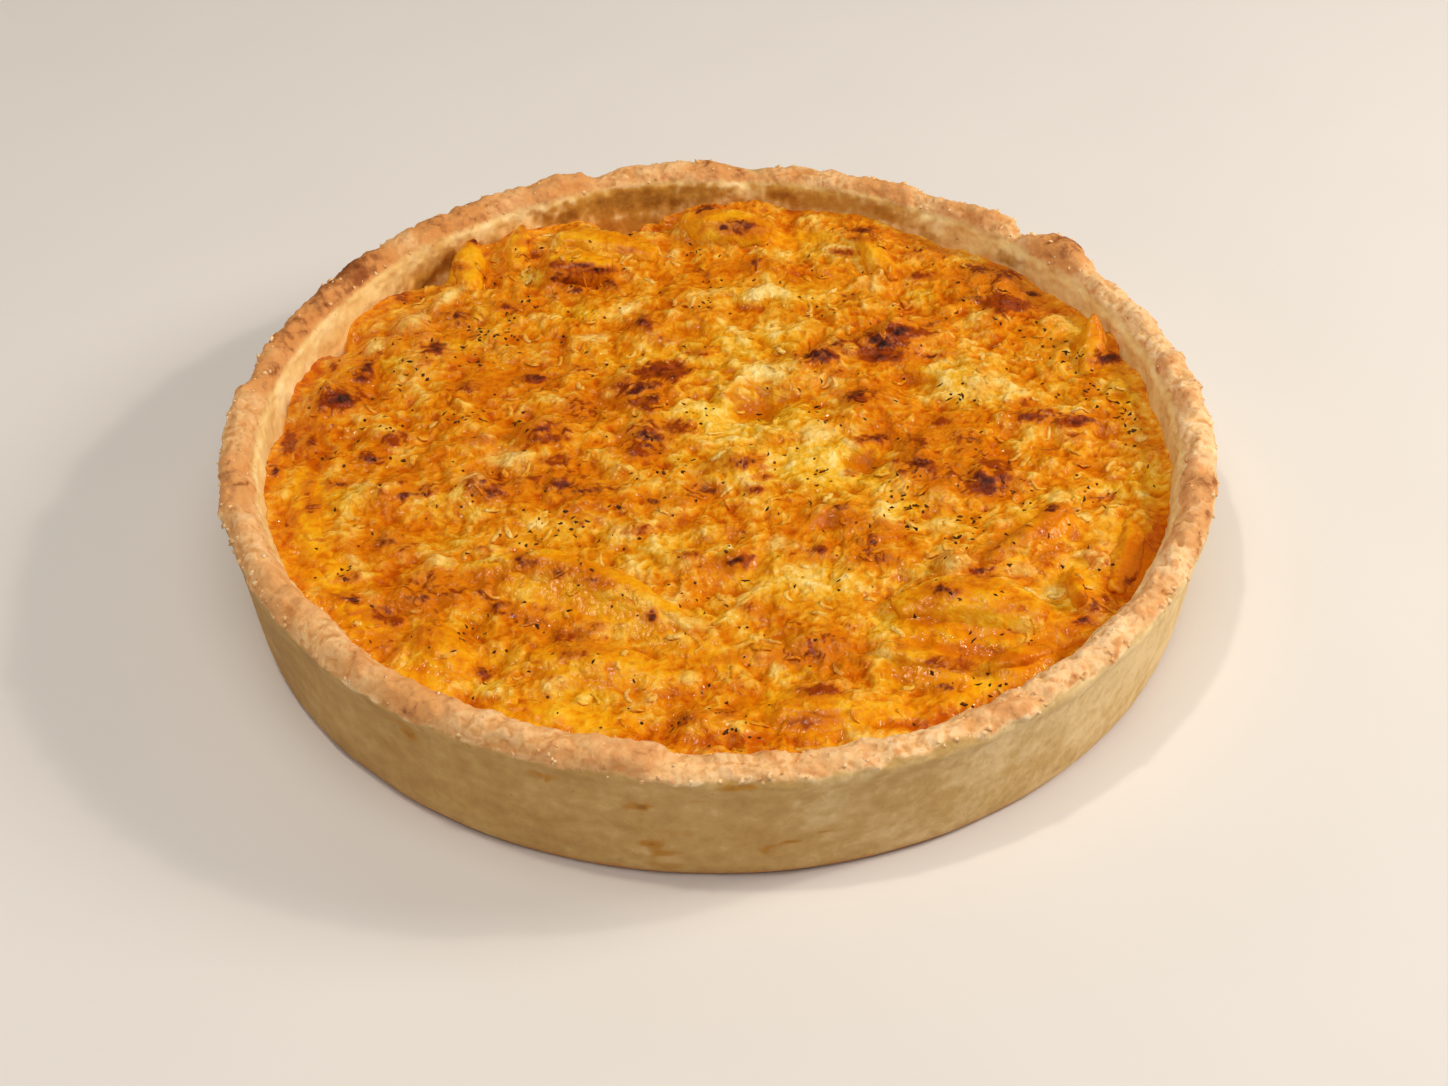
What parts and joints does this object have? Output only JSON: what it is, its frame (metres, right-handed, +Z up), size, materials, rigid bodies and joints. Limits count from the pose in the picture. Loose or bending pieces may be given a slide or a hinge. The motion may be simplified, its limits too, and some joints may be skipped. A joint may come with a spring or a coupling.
{
  "type": "pumpkin tart",
  "caption": "Deep round open tart: a shortcrust pastry case with a crumbly raised rim, filled level with baked custard and set with slices of roast pumpkin.",
  "frame": {"origin": "middle of the flat underside of the pastry case", "axes": "+Z up, through the middle of the case; -Y towards the side that the picture shows in front"},
  "size_m": [0.2467, 0.247, 0.0399],
  "materials": {
    "pastry": "matt, dry and crumbly, toasted along the rim",
    "custard": "semi-gloss, moist, browned in spots",
    "pumpkin": "satin, moist, charred at the tips"
  },
  "bodies": {
    "root": {"crust": "pastry", "filling": "custard", "pumpkin_left_wall": "pumpkin", "pumpkin_left_front": "pumpkin", "pumpkin_front_left": "pumpkin", "pumpkin_long_ridge": "pumpkin", "pumpkin_front_low": "pumpkin", "pumpkin_front_wall": "pumpkin", "pumpkin_front_right": "pumpkin", "pumpkin_right_dome": "pumpkin", "pumpkin_bowl_edge": "pumpkin", "pumpkin_right_front": "pumpkin", "pumpkin_right_ridge": "pumpkin", "pumpkin_right_wall": "pumpkin", "pumpkin_right_tip": "pumpkin", "pumpkin_back_right": "pumpkin", "pumpkin_wall_tip": "pumpkin", "pumpkin_back": "pumpkin", "pumpkin_back_left": "pumpkin", "pumpkin_back_tip": "pumpkin", "pumpkin_block": "pumpkin", "pumpkin_left_tip": "pumpkin"}
  },
  "joints": []
}
